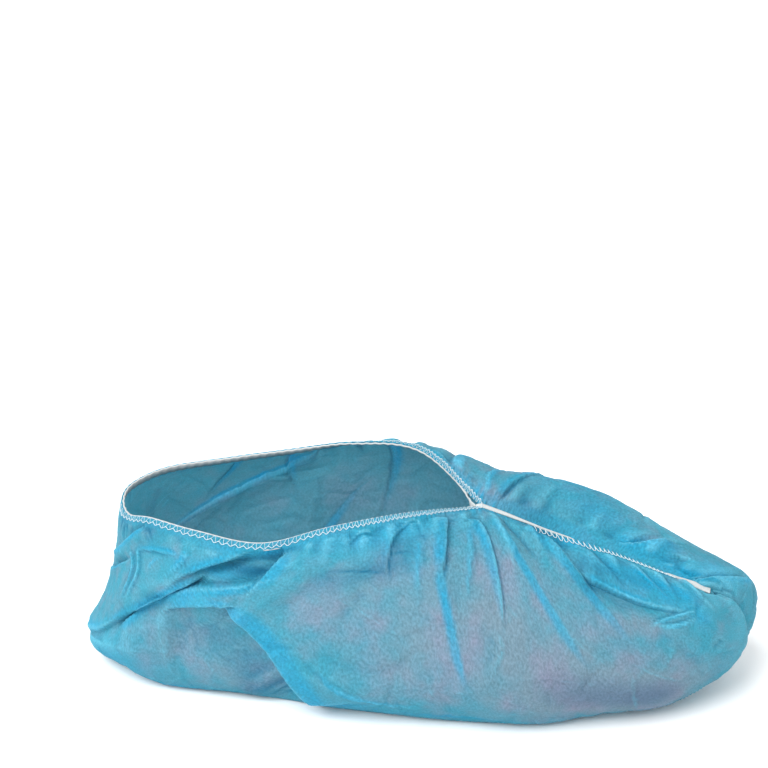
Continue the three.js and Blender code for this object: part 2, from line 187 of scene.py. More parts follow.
# smooth wall at loop station s and drop d: one Bezier from the top edge out to the widest point,
# a second one from there down to the floor; d from 1 to 2 runs along the floor to the sole's middle line
def smoothWall(s, d):
    s, d = np.broadcast_arrays(np.mod(np.asarray(s, float), loopStations), np.asarray(d, float))
    top = topEdge(s)
    spread, rise, lean, bx, by, bz, fx, fy = np.moveaxis(blendRows(sectionLoop, s, True), -1, 0)
    bulge = np.stack([bx, by, bz], -1)
    floor = np.stack([fx, fy, 0 * fx], -1)
    flat = np.array([1, 1, 0.0])
    outward = (bulge - top) * flat
    outward /= np.linalg.norm(outward, axis=-1, keepdims=True) + 1e-9
    leave = top + outward * spread[..., None] + rise[..., None] * [0, 0, 1]
    height = np.maximum(top[..., 2] - bz, 8) * 0.55 + np.maximum(rise, 0) * 0.5
    arrive = bulge + (top - bulge) * flat * lean[..., None] + height[..., None] * [0, 0, 1]
    tuck = cover["lowerTuck"] + cover["toeTuck"] * np.exp(-((s - lastStation - 0.2) / 1.1)**2)
    under = np.concatenate([bulge[..., :2], (bz * tuck)[..., None]], -1)
    meet = floor + (bulge - floor) * flat * cover["floorTuck"]
    share = cover["bulgeShare"]
    upper = bezier(top, leave, arrive, bulge, np.clip(d / share, 0, 1))
    lower = bezier(bulge, under, meet, floor, np.clip((d - share) / (1 - share), 0, 1))
    spineX = cover["heelSpine"] + (cover["toeSpine"] - cover["heelSpine"]) * fromHeel(s) / lastStation
    spine = np.stack([spineX, 0 * s, 0 * s], -1)
    sole = floor + (spine - floor) * np.clip(d - 1, 0, 1)[..., None]
    wall = np.where((d <= share)[..., None], upper, np.where((d <= 1)[..., None], lower, sole))
    return wall + cover["originShift"]


# outward normal and the two surface directions at (s, d), from small steps
def wallFrame(s, d):
    stepS, stepD = 0.02, 0.004
    along = smoothWall(s + stepS, d) - smoothWall(s - stepS, d)
    low = np.clip(d - stepD, 0, 1)
    down = smoothWall(s, low + 2 * stepD) - smoothWall(s, low)
    along /= np.linalg.norm(along, axis=-1, keepdims=True) + 1e-9
    down /= np.linalg.norm(down, axis=-1, keepdims=True) + 1e-9
    normal = np.cross(down, along)
    normal /= np.linalg.norm(normal, axis=-1, keepdims=True) + 1e-9
    return normal, along, down


# each row scaled to length 1
def unitRows(v):
    return v / (np.linalg.norm(v, axis=-1, keepdims=True) + 1e-12)


# smooth step from 0 at low to 1 at high: 3f^2 - 2f^3
def easeStep(low, high, x):
    f = np.clip((x - low) / (high - low), 0, 1)
    return f * f * (3 - 2 * f)


# folds: three points of each line as station and drop. The cloth to the right of the line's direction stands
# up by crest, the cloth to its left lies back by dip, each fading over its width in mm. The crest hangs over
# the line by overhang, and band is the width of the doubled cloth behind it
mainFolds = [
    # s0, d0, s1, d1, s2, d2, crest, wide, dip, wide, fadeIn, fadeOut, overhang, band
    # heel flap's lower edge, in three lengths
    (4.43, 0.05, 3.72, 0.07, 2.79, 0.36, 2, 14, 4.5, 7, 0.08, 0.25, 1.6, 4),
    (3.38, 0.22, 2.45, 0.45, 0.78, 0.61, 1.6, 12, 4.5, 7, 0.18, 0.45, 1.4, 4),
    (1.7, 0.545, 0.85, 0.6, -0.6, 0.67, 0.8, 8, 1.4, 5, 0.4, 0.35, 0.6, 3),
    # lip under the heel pocket
    (1.76, 0.57, 2.85, 0.38, 4.35, 0.19, 2, 12, 2.4, 5, 0.15, 0.18, 0.8, 5),
    # panel's upper edge
    (3.93, 0.3, 4.27, 0.14, 4.48, 0.04, 3.2, 16, 5, 8, 0.4, 0.45, 1, 7),
    # panel's lower edge
    (4.76, 0.85, 4.33, 0.61, 3.55, 0.35, 2.8, 20, 4.5, 10, 0.1, 0.16, 1.2, 9),
    # edge above the recess
    (3.9, 0.36, 3.38, 0.4, 2.7, 0.48, 1.8, 7, 2.5, 6, 0.3, 0.3, 0.6, 5),
    # recess at the heel
    (2.7, 0.53, 3.5, 0.58, 4.4, 0.82, -5, 12, 5, 10, 0.3, 0.2, 0, 0),
    # hollow beside the panel
    (4.22, 0.7, 4.42, 0.83, 4.5, 0.97, -6, 9, 6, 6, 0.4, 0.02, 0, 0),
    # ridge at the heel's top
    (-0.5, 0.38, 1.08, 0.203, 2.05, 0.02, 2.2, 8, 1.6, 9, 0.47, 0.1, 0.5, 4),
    # groove below it
    (-0.3, 0.45, 0.89, 0.333, 1.78, 0.24, 1, 5, 3, 5, 0.44, 0.3, 0.2, 2),
    # two creases down the heel
    (1.75, 0.19, 1.94, 0.33, 1.76, 0.46, 1.2, 1.8, -0.4, 1.4, 0.1, 0.3, 0, 1.6),
    (2, 0.17, 2.13, 0.32, 1.94, 0.45, 1.2, 1.8, -0.4, 1.4, 0.1, 0.3, 0, 1.6),
    # soft ridges at the upper heel
    (3, 0.16, 2.51, 0.16, 1.75, 0.2, 0.3, 8, 0.3, 6, 0.35, 0.4, 0, 4),
    (2.97, 0.07, 3.04, 0.17, 2.73, 0.3, 0.3, 7, 0.2, 6, 0.4, 0.4, 0, 4),
    (2.65, 0.18, 2.47, 0.23, 2.4, 0.3, 0.4, 2.2, -0.2, 2, 0.35, 0.4, 0, 1.5),
    # small dents in the panel
    (4.2, 0.55, 4.43, 0.55, 4.67, 0.55, -0.6, 1.6, 0.6, 1.6, 0.2, 0.5, 0, 0),
    (5.17, 0.69, 4.83, 0.63, 4.63, 0.58, -0.6, 1.6, 0.6, 1.6, 0.3, 0.4, 0, 0),
    # gathers under the near rim
    (5.56, 0.09, 5.37, 0.07, 5.2, 0.13, 1, 4, 1, 3, 0.2, 0.4, 0.3, 2),
    (6.11, 0.05, 5.77, 0.14, 5.69, 0.34, 1.4, 7, 1.1, 9, 0.05, 0.6, 0.4, 4),
    (6.15, 0.14, 6.09, 0.26, 6.02, 0.39, 1, 3, -0.4, 3, 0.2, 0.5, 0, 3),
    # main pleat
    (6.51, 0.06, 6.42, 0.21, 6.33, 0.33, 1.8, 6, 1.2, 4, 0.05, 0.45, 0.6, 5.5),
    (6.35, 0.24, 6.48, 0.48, 6.69, 0.69, 0.5, 4, -0.4, 3, 0.15, 0.4, 0, 4.2),
    # pleats at the mouth's point
    (6.85, 0.08, 6.76, 0.25, 6.61, 0.43, 0.7, 2.2, -0.2, 2.4, 0.08, 0.45, 0, 2),
    (6.87, 0.08, 7.07, 0.28, 7.09, 0.48, 1.3, 5, 0.7, 4, 0.08, 0.55, 0.4, 4.5),
    (7.14, 0.07, 7.68, 0.31, 8.28, 0.58, 0.5, 4, -0.4, 3, 0.08, 0.35, 0, 4.4),
    (7.31, 0.05, 7.58, 0.15, 7.78, 0.23, -1.2, 2.2, 1.2, 2.2, 0.1, 0.5, 0, 0),
    (7.67, 0.04, 8.05, 0.13, 8.5, 0.29, 1.8, 7, 2.4, 6, 0.06, 0.45, 0.8, 5.5),
    (7.8, 0.06, 8.34, 0.24, 8.88, 0.49, 0.5, 5, -0.3, 4, 0.1, 0.4, 0, 5.5),
    # welt along the vamp seam
    (9.8, 0.32, 8.93, 0.255, 8.3, 0.2, 1.8, 14, 1.7, 7, 0.45, 0.15, 2.2, 3),
    # small folds at the toe
    (9.04, 0.38, 9.42, 0.33, 9.94, 0.29, 0.6, 3, 0.4, 3, 0.4, 0.4, 0.1, 2),
    (9.13, 0.37, 9.46, 0.37, 9.85, 0.33, 0.6, 3, 0.4, 3, 0.4, 0.4, 0.1, 2),
    (9.08, 0.39, 9.47, 0.49, 9.83, 0.66, -0.7, 3, 0.7, 3, 0.25, 0.25, 0, 0),
    (9.91, 0.52, 10.06, 0.51, 10.18, 0.48, -0.4, 2, 0.4, 2, 0.3, 0.3, 0, 0),
    # soft hollows and a ridge in the panel
    (4.63, 0.54, 5.47, 0.62, 6.03, 0.54, -1.2, 3.5, 1.2, 2.5, 0.3, 0.3, 0, 0),
    (5.17, 0.18, 4.7, 0.3, 4.2, 0.46, -1.5, 6, 1.5, 6, 0.3, 0.3, 0, 0),
    (5.47, 0.33, 5.27, 0.39, 5.1, 0.46, -0.8, 3, 0.8, 3, 0.3, 0.3, 0, 0),
    (7.03, 0.47, 6.9, 0.52, 7, 0.56, -1, 3.5, 1, 3.5, 0.3, 0.3, 0, 0),
    (4.83, 0.59, 5.31, 0.72, 6.18, 0.79, 0.6, 3, -0.2, 3, 0.3, 0.4, 0, 2.5),
    # step between toe lobes
    (10.86, 0.09, 10.98, 0.38, 10.94, 0.76, 2.2, 8, 5.5, 8, 0.1, 0.6, 0.8, 0),
    # far side of the vamp
    (14.1, 0.01, 13.99, 0.03, 13.77, 0.06, 0.7, 4, 0.7, 4, 0.2, 0.45, 0.2, 0),
    (13.45, 0.02, 12.81, 0.08, 12.43, 0.24, 2.4, 9, 2.2, 4, 0.25, 0.3, 0.8, 10),
    (12.3, 0.14, 12.22, 0.1, 12.12, 0.03, -1.5, 3, 1.5, 3, 0.3, 0.2, 0, 0),
    (11.89, 0.02, 11.64, 0.15, 11.88, 0.52, 1.5, 6, 2.4, 4, 0.15, 0.1, 0.8, 4),
    (13.5, 0.21, 13.4, 0.13, 13.31, 0.05, -0.7, 4, 0.7, 4, 0.4, 0.4, 0, 0),
    (11.23, 0.08, 11.3, 0.22, 11.27, 0.34, 0.8, 2.2, 0.8, 2.2, 0.2, 0.4, 0, 0),
    # far pleats
    (14.2, 0.6, 14.6, 0.25, 14.8, 0.03, 0.8, 8, 0.6, 5, 0.5, 0.15, 0.4, 4),
    (15.5, 0.03, 15.6, 0.25, 15.3, 0.62, 1, 7, 1.1, 5, 0.08, 0.5, 0.6, 5),
    (15, 0.03, 15.1, 0.2, 14.9, 0.4, 0.7, 4, 0.4, 4, 0.15, 0.6, 0, 3),
    (16.2, 0.03, 16.3, 0.18, 16.5, 0.34, -1.3, 4, 1.3, 4, 0.1, 0.6, 0, 0),
    # far heel pocket
    (20.6, 0.6, 18.6, 0.3, 17.4, 0.06, 1.4, 12, 1.8, 9, 0.5, 0.25, 0.5, 4),
    # soft ridges and hollows of the far side
    (16.9, 0.36, 17.6, 0.6, 18.2, 0.88, 1.4, 11, -1, 9, 0.45, 0.45, 0, 4),
    (17.9, 0.03, 18, 0.18, 17.8, 0.4, 0.9, 5, 0.7, 5, 0.1, 0.6, 0.2, 4),
    (18.8, 0.03, 18.9, 0.16, 19.2, 0.36, 0.9, 5, 0.7, 5, 0.1, 0.6, 0.2, 4),
    (16.7, 0.04, 16.6, 0.28, 16.9, 0.62, 0.9, 6, 0.5, 5, 0.1, 0.6, 0.2, 4.5),
    (13, 0.48, 14.5, 0.62, 16, 0.54, 0.9, 8, -0.7, 8, 0.4, 0.4, 0, 0),
    (19.4, 0.58, 18.3, 0.72, 17, 0.66, -1, 9, 1, 9, 0.4, 0.4, 0, 0),
    (20, 0.05, 20.2, 0.3, 20, 0.55, -1.2, 5, 1.2, 5, 0.25, 0.5, 0, 0),
]

fineFolds = {
    "rimSpacing": 0.17,       # stations between the small gathers under the rim
    "seamSpacing": 0.2,
    "gatherHeight": (0.7, 1.9),
    "gatherWidth": (1.5, 2.8),
    "creases": 280,           # small crisp creases all over the sheet
    "creaseHeight": (0.08, 0.32),
    "creaseWidth": (1.2, 2.8),
    "creaseMm": (8.0, 32.0),
}


# rows for the small gathers: short lines that leave the rim or the seam, alternately up and down
def gatherRows():
    rimStations = np.arange(0.1, apexStation, fineFolds["rimSpacing"])
    seamStations = np.arange(apexStation + 0.15, lastStation - 0.3, fineFolds["seamSpacing"])
    starts = np.concatenate([rimStations, seamStations])
    starts = np.concatenate([starts, loopStations - starts])
    count = len(starts)
    starts = starts + rng.uniform(-0.07, 0.07, count)
    near = fromHeel(starts)
    strength = easeStep(3.6, 5.2, near) * 0.7 + 0.3
    length = rng.uniform(0.08, 0.34, count) * (0.5 + 0.5 * strength)
    toToe = np.where(near > apexStation, rng.uniform(0.0, 0.45, count), rng.uniform(-0.16, 0.08, count))
    side = np.where(starts > lastStation, -1.0, 1.0)
    height = rng.uniform(*fineFolds["gatherHeight"], count) * strength * np.where(np.arange(count) % 2, 1, -1)
    width = rng.uniform(*fineFolds["gatherWidth"], count)
    zero = np.zeros(count)
    return np.stack([
        starts, zero + 0.012, starts + side * toToe * 0.4, length * 0.5, starts + side * toToe, length,
        height, width, -height, width * 1.3, zero + 0.05, zero + 0.7, zero, zero], -1)


# rows for the creases that handling leaves: short nearly straight lines in all directions
def creaseRows():
    count = fineFolds["creases"]
    s = rng.uniform(0, loopStations, count)
    d = rng.uniform(0.08, 0.92, count)
    angle = rng.uniform(0, math.pi, count)
    half = rng.uniform(*fineFolds["creaseMm"], count) / 2
    ds = np.cos(angle) * half / cover["stationMm"]
    dd = np.sin(angle) * half / cover["wallMm"]
    bend = rng.uniform(-0.12, 0.12, count)
    height = rng.uniform(*fineFolds["creaseHeight"], count) * np.where(rng.random(count) < 0.55, 1, -1)
    width = rng.uniform(*fineFolds["creaseWidth"], count)
    zero = np.zeros(count)
    return np.stack([
        s - ds, d - dd, s + bend, d + bend * 0.15, s + ds, d + dd,
        height, width, -height, width * 1.5, zero + 0.35, zero + 0.35, zero, zero], -1)


# all folds at (s, d), in mm: height over the wall, sideways shift, doubled share from 0 to 1, and the pull
# that closes the grid up. Across each line the height falls as exp(-(u/wide)^2), or, where it is crisp, as
# exp(-1.5u/wide)
def foldField(s, d, rows, crisp=False):
    y = d * cover["wallMm"]
    height, doubled = np.zeros_like(y), np.zeros_like(y)
    shift, pull = np.zeros(y.shape + (2,)), np.zeros(y.shape + (2,))
    q = np.linspace(0, 1, 25)[:, None]
    unit = np.array([cover["stationMm"], cover["wallMm"]])
    edge = cover["foldEdge"]
    for row in np.asarray(rows, float):
        a, b, c = row[0:2] * unit, row[2:4] * unit, row[4:6] * unit
        crest, crestWide, dip, dipWide, fadeIn, fadeOut, overhang, band = row[6:14]
        opposite = row[2] - lastStation
        x = (np.mod(s - opposite, loopStations) + opposite) * cover["stationMm"]
        bend = 2 * b - (a + c) / 2
        path = (1 - q)**2 * a + 2 * q * (1 - q) * bend + q * q * c
        reach = max(2.6 * max(crestWide, dipWide), band + 3)
        low, high = path.min(0) - reach, path.max(0) + reach
        hit = (x > low[0]) & (x < high[0]) & (y > low[1]) & (y < high[1])
        if not hit.any():
            continue
        p = np.stack([x[hit], y[hit]], -1)[:, None]
        start, step = path[:-1], np.diff(path, axis=0)
        part = np.clip(((p - start) * step).sum(-1) / (step * step).sum(-1), 0, 1)
        gap = p - start - part[..., None] * step
        distance = np.linalg.norm(gap, axis=-1)
        best = distance.argmin(1)
        pick = np.arange(len(best))
        gap, step = gap[pick, best], step[best]
        along = (best + part[pick, best]) / len(start)
        u = distance[pick, best] * np.sign(step[:, 0] * gap[:, 1] - step[:, 1] * gap[:, 0])
        fade = easeStep(0, max(fadeIn, 1e-3), along) * (1 - easeStep(1 - fadeOut, 1, along))
        if crisp:
            raised, sunk = np.exp(-np.abs(u) / crestWide * 1.5), np.exp(-np.abs(u) / dipWide * 1.5)
        else:
            raised, sunk = np.exp(-(u / crestWide)**2), np.exp(-(u / dipWide)**2)
        onCrest = easeStep(-edge, edge, u)
        height[hit] += fade * (crest * raised * onCrest - dip * sunk * (1 - onCrest))
        across = np.stack([-step[:, 1], step[:, 0]], -1)
        across /= np.linalg.norm(across, axis=-1, keepdims=True)
        if overhang > 0:
            shift[hit] -= across * (overhang * np.exp(-((u - edge) / 2.5)**2) * fade)[:, None]
            pull[hit] -= across * (cover["gridPull"] * u * np.exp(-(u / 5)**2) * fade)[:, None]
        if band > 0:
            reachIn = band * np.sqrt(fade)
            inside = easeStep(-edge, edge, u) * (1 - easeStep(0.55 * reachIn, reachIn + 0.1, u))
            doubled[hit] = np.maximum(doubled[hit], cover["bandShare"] * inside * fade)
    return height, shift, doubled, pull


# patches of the sheet: station, drop, reach along and down, strength. Where it is drawn tight it looks paler;
# above a strength of 1 it also takes painted shade, as on the lower toe
tightAndShadePatches = np.array([
    (3.1, 0.58, 0.8, 0.16, 0.4), (3.9, 0.74, 0.5, 0.12, 0.4), (5.0, 0.34, 0.5, 0.1, 0.35),
    (6.2, 0.42, 1.2, 0.2, 0.45), (5.9, 0.6, 0.4, 0.12, 0.3), (7.4, 0.5, 1.1, 0.22, 0.55),
    (8.4, 0.68, 1.1, 0.14, 1.3), (9.2, 0.7, 0.5, 0.1, 0.8), (8.9, 0.37, 0.3, 0.05, 0.7),
    (14.9, 0.04, 0.5, 0.05, 0.6), (16.5, 0.5, 1.6, 0.3, 0.5), (19.5, 0.6, 1.2, 0.25, 0.5)])

# the same for patches where it lies double
doublePatches = np.array([
    (1.5, 0.72, 0.8, 0.1, 0.7), (3.5, 0.19, 0.5, 0.06, 0.7), (5.7, 0.09, 0.9, 0.08, 0.8),
    (2.5, 0.9, 0.8, 0.05, 0.7), (4.0, 0.045, 0.9, 0.03, 0.9), (4.9, 0.82, 0.5, 0.06, 0.8),
    (6.4, 0.86, 0.9, 0.025, 0.7), (8.3, 0.035, 0.5, 0.05, 1.0), (9.2, 0.15, 0.7, 0.08, 1.2),
    (9.65, 0.22, 0.35, 0.07, 1.0), (9.9, 0.34, 0.18, 0.07, 0.8), (11.9, 0.06, 0.35, 0.07, 0.8),
    (12.7, 0.06, 0.55, 0.06, 1.2), (14.0, 0.3, 0.7, 0.14, 0.5), (11.8, 0.22, 0.3, 0.12, 0.9),
    (13.5, 0.15, 0.4, 0.07, 0.5)])

# and for painted shade in deep places between folds; a strength below 0 paints light there instead, as a
# painted highlight
paintedShadePatches = np.array([
    (0.9, 0.07, 0.45, 0.06, 1.2), (0.9, 0.32, 0.4, 0.03, 0.8), (2.2, 0.49, 0.35, 0.03, 0.3),
    (2.75, 0.40, 0.35, 0.035, 0.5), (3.5, 0.19, 0.3, 0.04, 0.7), (2.0, 0.06, 0.5, 0.045, 0.8),
    (4.34, 0.04, 0.25, 0.04, 0.8), (3.88, 0.15, 0.3, 0.05, 2.3), (3.95, 0.7, 0.35, 0.1, 0.9),
    (4.0, 0.85, 0.3, 0.07, 1.4), (3.5, 0.54, 0.35, 0.08, 0.6), (4.9, 0.3, 0.3, 0.06, 0.6),
    (5.65, 0.25, 0.35, 0.05, 0.9), (3.0, 0.93, 0.8, 0.05, 0.8), (1.2, 0.6, 0.7, 0.06, -0.4),
    (1.78, 0.5, 0.3, 0.05, 0.5), (2.26, 0.13, 0.5, 0.07, 0.45), (6.4, 0.38, 0.12, 0.18, 0.55),
    (5.3, 0.26, 0.35, 0.06, 0.6), (5.9, 0.18, 0.3, 0.06, 0.8), (7.95, 0.035, 0.3, 0.04, 1.8),
    (8.42, 0.25, 0.22, 0.035, 1.2), (8.55, 0.17, 0.25, 0.045, 1.0), (9.05, 0.18, 0.3, 0.05, 0.7),
    (9.75, 0.03, 0.25, 0.018, 1.6), (8.8, 0.3, 0.25, 0.03, 0.6), (9.5, 0.08, 0.4, 0.06, -0.4),
    (10.4, 0.15, 0.3, 0.1, -0.5), (10.4, 0.26, 0.25, 0.08, -0.4), (10.7, 0.48, 0.35, 0.14, -0.6),
    (11.7, 0.18, 0.4, 0.16, -0.5), (11.9, 0.08, 0.3, 0.06, 0.5), (12.9, 0.3, 0.5, 0.08, -0.6),
    (14.15, 0.03, 0.4, 0.05, 0.8), (14.6, 0.12, 0.4, 0.1, 0.5)])


# all patches summed at (s, d): each is a bump that falls off as exp(-u^2 - v^2), u and v in its reaches
def patchShare(patches, s, d):
    total = np.zeros_like(s)
    for atS, atD, reachS, reachD, strength in patches:
        total += strength * np.exp(-((s - atS) / reachS)**2 - ((d - atD) / reachD)**2)
    return total


# how closely the edge's ruffles lie: full where the elastic draws the cloth in, fading below the edge
def gatheredShare(s, d):
    side = fromHeel(s)
    drawn = 0.25 + 0.75 * easeStep(4.2, 5.4, side) - 0.8 * easeStep(7.0, 7.6, side)
    return drawn * (1 - easeStep(0.0, cover["ruffleMm"], d * cover["wallMm"]))


# share of a fold that is left at drop d: none at the top edge, at the floor or under the sole
def holdShare(d):
    return easeStep(0.02, 0.09, d) * (1 - easeStep(0.88, 0.985, d)) * (d <= 1)


# loop stations of the grid's columns: the same from heel to toe on both sides
def columnStations():
    near = np.concatenate([k + np.arange(count) / count for k, count in enumerate(cover["columns"])])
    return np.concatenate([near, [lastStation], loopStations - near[:0:-1]])


# grid of the finished sheet: smooth wall plus long waves, main folds, gathers and creases along the normal
def coverGrid():
    d = np.concatenate([
        np.linspace(0, 1, cover["wallRows"] + 1),
        1 + np.arange(1, cover["soleRows"] + 1) / cover["soleRows"]])
    s, d = np.meshgrid(columnStations(), d, indexing="ij")
    pull = foldField(s, d, mainFolds)[3] * holdShare(d)[..., None]
    s, d = s + pull[..., 0] / cover["stationMm"], d + pull[..., 1] / cover["wallMm"]
    hold = holdShare(d)
    edgeHold = easeStep(0.035, 0.075, d) * (1 - easeStep(0.9, 0.985, d)) * (d <= 1)
    normal, along, down = wallFrame(s, np.clip(d, 0, 1))
    height, shift, doubled, _ = foldField(s, d, mainFolds)
    gathers = foldField(s, d, gatherRows())[0]
    creases = foldField(s, d, creaseRows(), crisp=True)[0]
    waves = np.sin(1.9 * s + 5.1 * d + 1.3) * np.sin(7.3 * d - 0.8 * s) + 0.6 * np.sin(3.7 * s - 9.0 * d)
    waves *= cover["waveMm"] * easeStep(0.1, 0.35, d) * easeStep(0, 1.4, fromHeel(s))
    moved = (height + waves + creases) * hold + gathers * edgeHold
    points = smoothWall(s, d) + normal * moved[..., None]
    shift = shift * (hold * (1 - easeStep(0.74, 0.88, d)))[..., None]
    points = points + along * shift[..., :1] + down * shift[..., 1:]
    hem = cover["hemShare"] * (1 - easeStep(0.6 * cover["hemMm"], cover["hemMm"], d * cover["wallMm"]))
    doubled = np.maximum(doubled * hold, patchShare(doublePatches, s, d))
    return s, d, points * mm, np.clip(np.maximum(doubled, hem), 0, 1)


# vertex numbers of the grid: both sides share the seam in front of the mouth and the sole's middle line
def sharedNumbers(columns, rows):
    column, row = np.meshgrid(np.arange(columns), np.arange(rows), indexing="ij")
    mirrored = np.minimum(column, columns - column)
    onSeam = (row == 0) & (mirrored >= sum(cover["columns"][:apexStation]))
    shared = onSeam | (row == rows - 1)
    return np.where(shared, mirrored, column) * rows + row


# smooth-shaded mesh object at the origin
def newObject(name, points, faces):
    mesh = bpy.data.meshes.new(name)
    mesh.from_pydata(points.tolist(), [], faces.tolist() if isinstance(faces, np.ndarray) else faces)
    mesh.polygons.foreach_set("use_smooth", np.ones(len(mesh.polygons), bool))
    mesh.update()
    piece = bpy.data.objects.new(name, mesh)
    bpy.context.collection.objects.link(piece)
    return piece


# the sheet's own coordinates in metres, for its patterns
def addUv(piece, corners):
    layer = piece.data.uv_layers.new(name="sheetUv")
    layer.data.foreach_set("uv", np.asarray(corners, np.float32).ravel())


# one value a vertex for the material to read
def addAttribute(piece, name, values):
    layer = piece.data.attributes.new(name, "FLOAT", "POINT")
    layer.data.foreach_set("value", np.asarray(values, np.float32))


settle = {
    "frames": 14,
    "quality": 4,
    "hold": 0.12,            # how firmly the wall is held to its modelled shape, from 0 to 1
    "grow": 0.02,            # share by which the sheet grows between its held edges
    "tension": 15.0,
    "shear": 5.0,
    "bend": 0.5,
    "mass": 0.02,
    "airDrag": 2.0,
    "mostMm": 1.2,           # furthest that a point may move
}


# settling as cloth: the sheet grows a few percent between its held edges and buckles into small wrinkles
def settleSheet(piece, drop):
    mesh = piece.data
    free = easeStep(0.03, 0.12, drop) * (1 - easeStep(0.86, 0.97, drop)) * (drop < 1)
    held = np.round((1 - (1 - settle["hold"]) * free) * 50) / 50
    group = piece.vertex_groups.new(name="held")
    for weight in np.unique(held):
        group.add(np.nonzero(held == weight)[0].tolist(), float(weight), "REPLACE")
    cloth = piece.modifiers.new("settling", "CLOTH")
    cloth.settings.quality = settle["quality"]
    cloth.settings.mass = settle["mass"]
    cloth.settings.tension_stiffness = settle["tension"]
    cloth.settings.compression_stiffness = settle["tension"]
    cloth.settings.shear_stiffness = settle["shear"]
    cloth.settings.bending_stiffness = settle["bend"]
    cloth.settings.air_damping = settle["airDrag"]
    cloth.settings.vertex_group_mass = group.name
    cloth.settings.shrink_min = cloth.settings.shrink_max = -settle["grow"]
    cloth.settings.effector_weights.gravity = 0.0
    cloth.collision_settings.use_collision = False
    cloth.point_cache.frame_end = settle["frames"]
    for step in range(1, settle["frames"] + 1):
        bpy.context.scene.frame_set(step)
    settled = piece.evaluated_get(bpy.context.evaluated_depsgraph_get()).to_mesh()
    before, after = readPoints(mesh), readPoints(settled)
    move = after - before
    far = np.linalg.norm(move, axis=1, keepdims=True) / (settle["mostMm"] * mm)
    after = before + move / np.sqrt(1 + far**2)
    after[:, 2] = np.maximum(after[:, 2], np.minimum(before[:, 2], 0.0))
    piece.modifiers.remove(cloth)
    piece.vertex_groups.remove(group)
    bpy.context.scene.frame_set(1)
    mesh.vertices.foreach_set("co", after.ravel().astype(np.float32))
    mesh.update()


# a mesh's vertices as rows
def readPoints(mesh):
    values = np.empty(len(mesh.vertices) * 3, np.float32)
    mesh.vertices.foreach_get("co", values)
    return values.reshape(-1, 3).astype(float)


# how sharply the sheet bends at each grid point, from -1 in a tight valley to 1 on a tight crest
def bendShare(grid):
    ahead, back = np.roll(grid, -1, axis=0), np.roll(grid, 1, axis=0)
    above, below = grid[:, [0, *range(grid.shape[1] - 1)]], grid[:, [*range(1, grid.shape[1]), -1]]
    along, down = ahead - back, below - above
    normal = unitRows(np.cross(down, along))

    def bend(before, after, span):
        return ((2 * grid - before - after) * normal).sum(-1) / ((span * span).sum(-1) / 4 + 0.05)

    total = bend(back, ahead, along) + bend(above, below, down)
    return np.tanh(total / cover["sharpBend"])


# the sheet as a mesh, and the grid of its finished points for what is sewn onto it
def makeCover():
    s, d, grid, doubled = coverGrid()
    # bend carries painted light and shade: lighter on crests, darker in valleys and in the painted shade
    # patches
    bend = bendShare(grid / mm) * easeStep(0.02, 0.06, d) * (1 - easeStep(0.9, 0.96, d))
    bend -= patchShare(paintedShadePatches, s, d)
    columns, rows = s.shape
    numbers = sharedNumbers(columns, rows)
    used, inverse = np.unique(numbers, return_inverse=True)
    inverse = inverse.reshape(columns, rows)

    def quads(values):
        ahead = np.roll(values, -1, axis=0)
        return np.stack([values[:, :-1], values[:, 1:], ahead[:, 1:], ahead[:, :-1]], -1)

    piece = newObject("nonwovenCover", grid.reshape(-1, 3)[used], quads(inverse).reshape(-1, 4))
    u = fromHeel(quads(s)) * cover["stationMm"] * mm
    addUv(piece, np.stack([u, -quads(d) * cover["wallMm"] * mm], -1))
    addAttribute(piece, "tightnessAndShade", patchShare(tightAndShadePatches, s, d).ravel()[used])
    addAttribute(piece, "doubled", doubled.ravel()[used])
    addAttribute(piece, "gathered", gatheredShare(s, d).ravel()[used])
    addAttribute(piece, "bend", bend.ravel()[used])
    settleSheet(piece, d.ravel()[used])
    return piece, readPoints(piece.data)[inverse] / mm


coverPiece, sheetGrid = makeCover()
print("cover sheet made:", len(coverPiece.data.polygons), "faces")


# point of the finished sheet at (s, d), between the four nearest grid points
def sheetPoint(s, d):
    stations = columnStations()
    ends = np.append(stations, loopStations)
    column = np.interp(np.mod(s, loopStations), ends, np.arange(len(ends), dtype=float))
    row = np.clip(d, 0, 1) * cover["wallRows"]
    i, j = np.floor(column).astype(int), np.minimum(np.floor(row).astype(int), cover["wallRows"] - 1)
    a, b = (column - i)[..., None], (row - j)[..., None]
    i, k = i % len(stations), (i + 1) % len(stations)
    near = sheetGrid[i, j] * (1 - b) + sheetGrid[i, j + 1] * b
    return near * (1 - a) + (sheetGrid[k, j] * (1 - b) + sheetGrid[k, j + 1] * b) * a


# surface from grids of sections: wraps round each section, and along the path if closed, else capped
def sectionSurface(name, strands, closed):
    faces, start = [], 0
    for sections in strands:
        count, corners = sections.shape[:2]
        number = start + np.arange(count * corners).reshape(count, corners)
        turned = np.roll(number, -1, axis=1)
        ahead, aheadTurned = np.roll(number, -1, axis=0), np.roll(turned, -1, axis=0)
        quads = np.stack([number, turned, aheadTurned, ahead], -1)
        faces += (quads if closed else quads[:-1]).reshape(-1, 4).tolist()
        if not closed:
            faces += [number[0, ::-1].tolist(), number[-1].tolist()]
        start += count * corners
    return newObject(name, np.concatenate([sections.reshape(-1, 3) for sections in strands]), faces)


# unit directions along a path
def pathDirections(path, closed):
    if closed:
        return unitRows(np.roll(path, -1, axis=0) - np.roll(path, 1, axis=0))
    return unitRows(np.gradient(path, axis=0))


# round thread along a path: a ring in the plane across the path, turned to the surface normal
def threadRings(path, normal, radius, closed, sides=6):
    ahead = pathDirections(path, closed)
    side = unitRows(np.cross(ahead, normal))
    up = np.cross(side, ahead)
    angle = np.arange(sides) * 2 * math.pi / sides
    ring = np.cos(angle)[None, :, None] * side[:, None] + np.sin(angle)[None, :, None] * up[:, None]
    return path[:, None] + ring * radius[:, None, None]


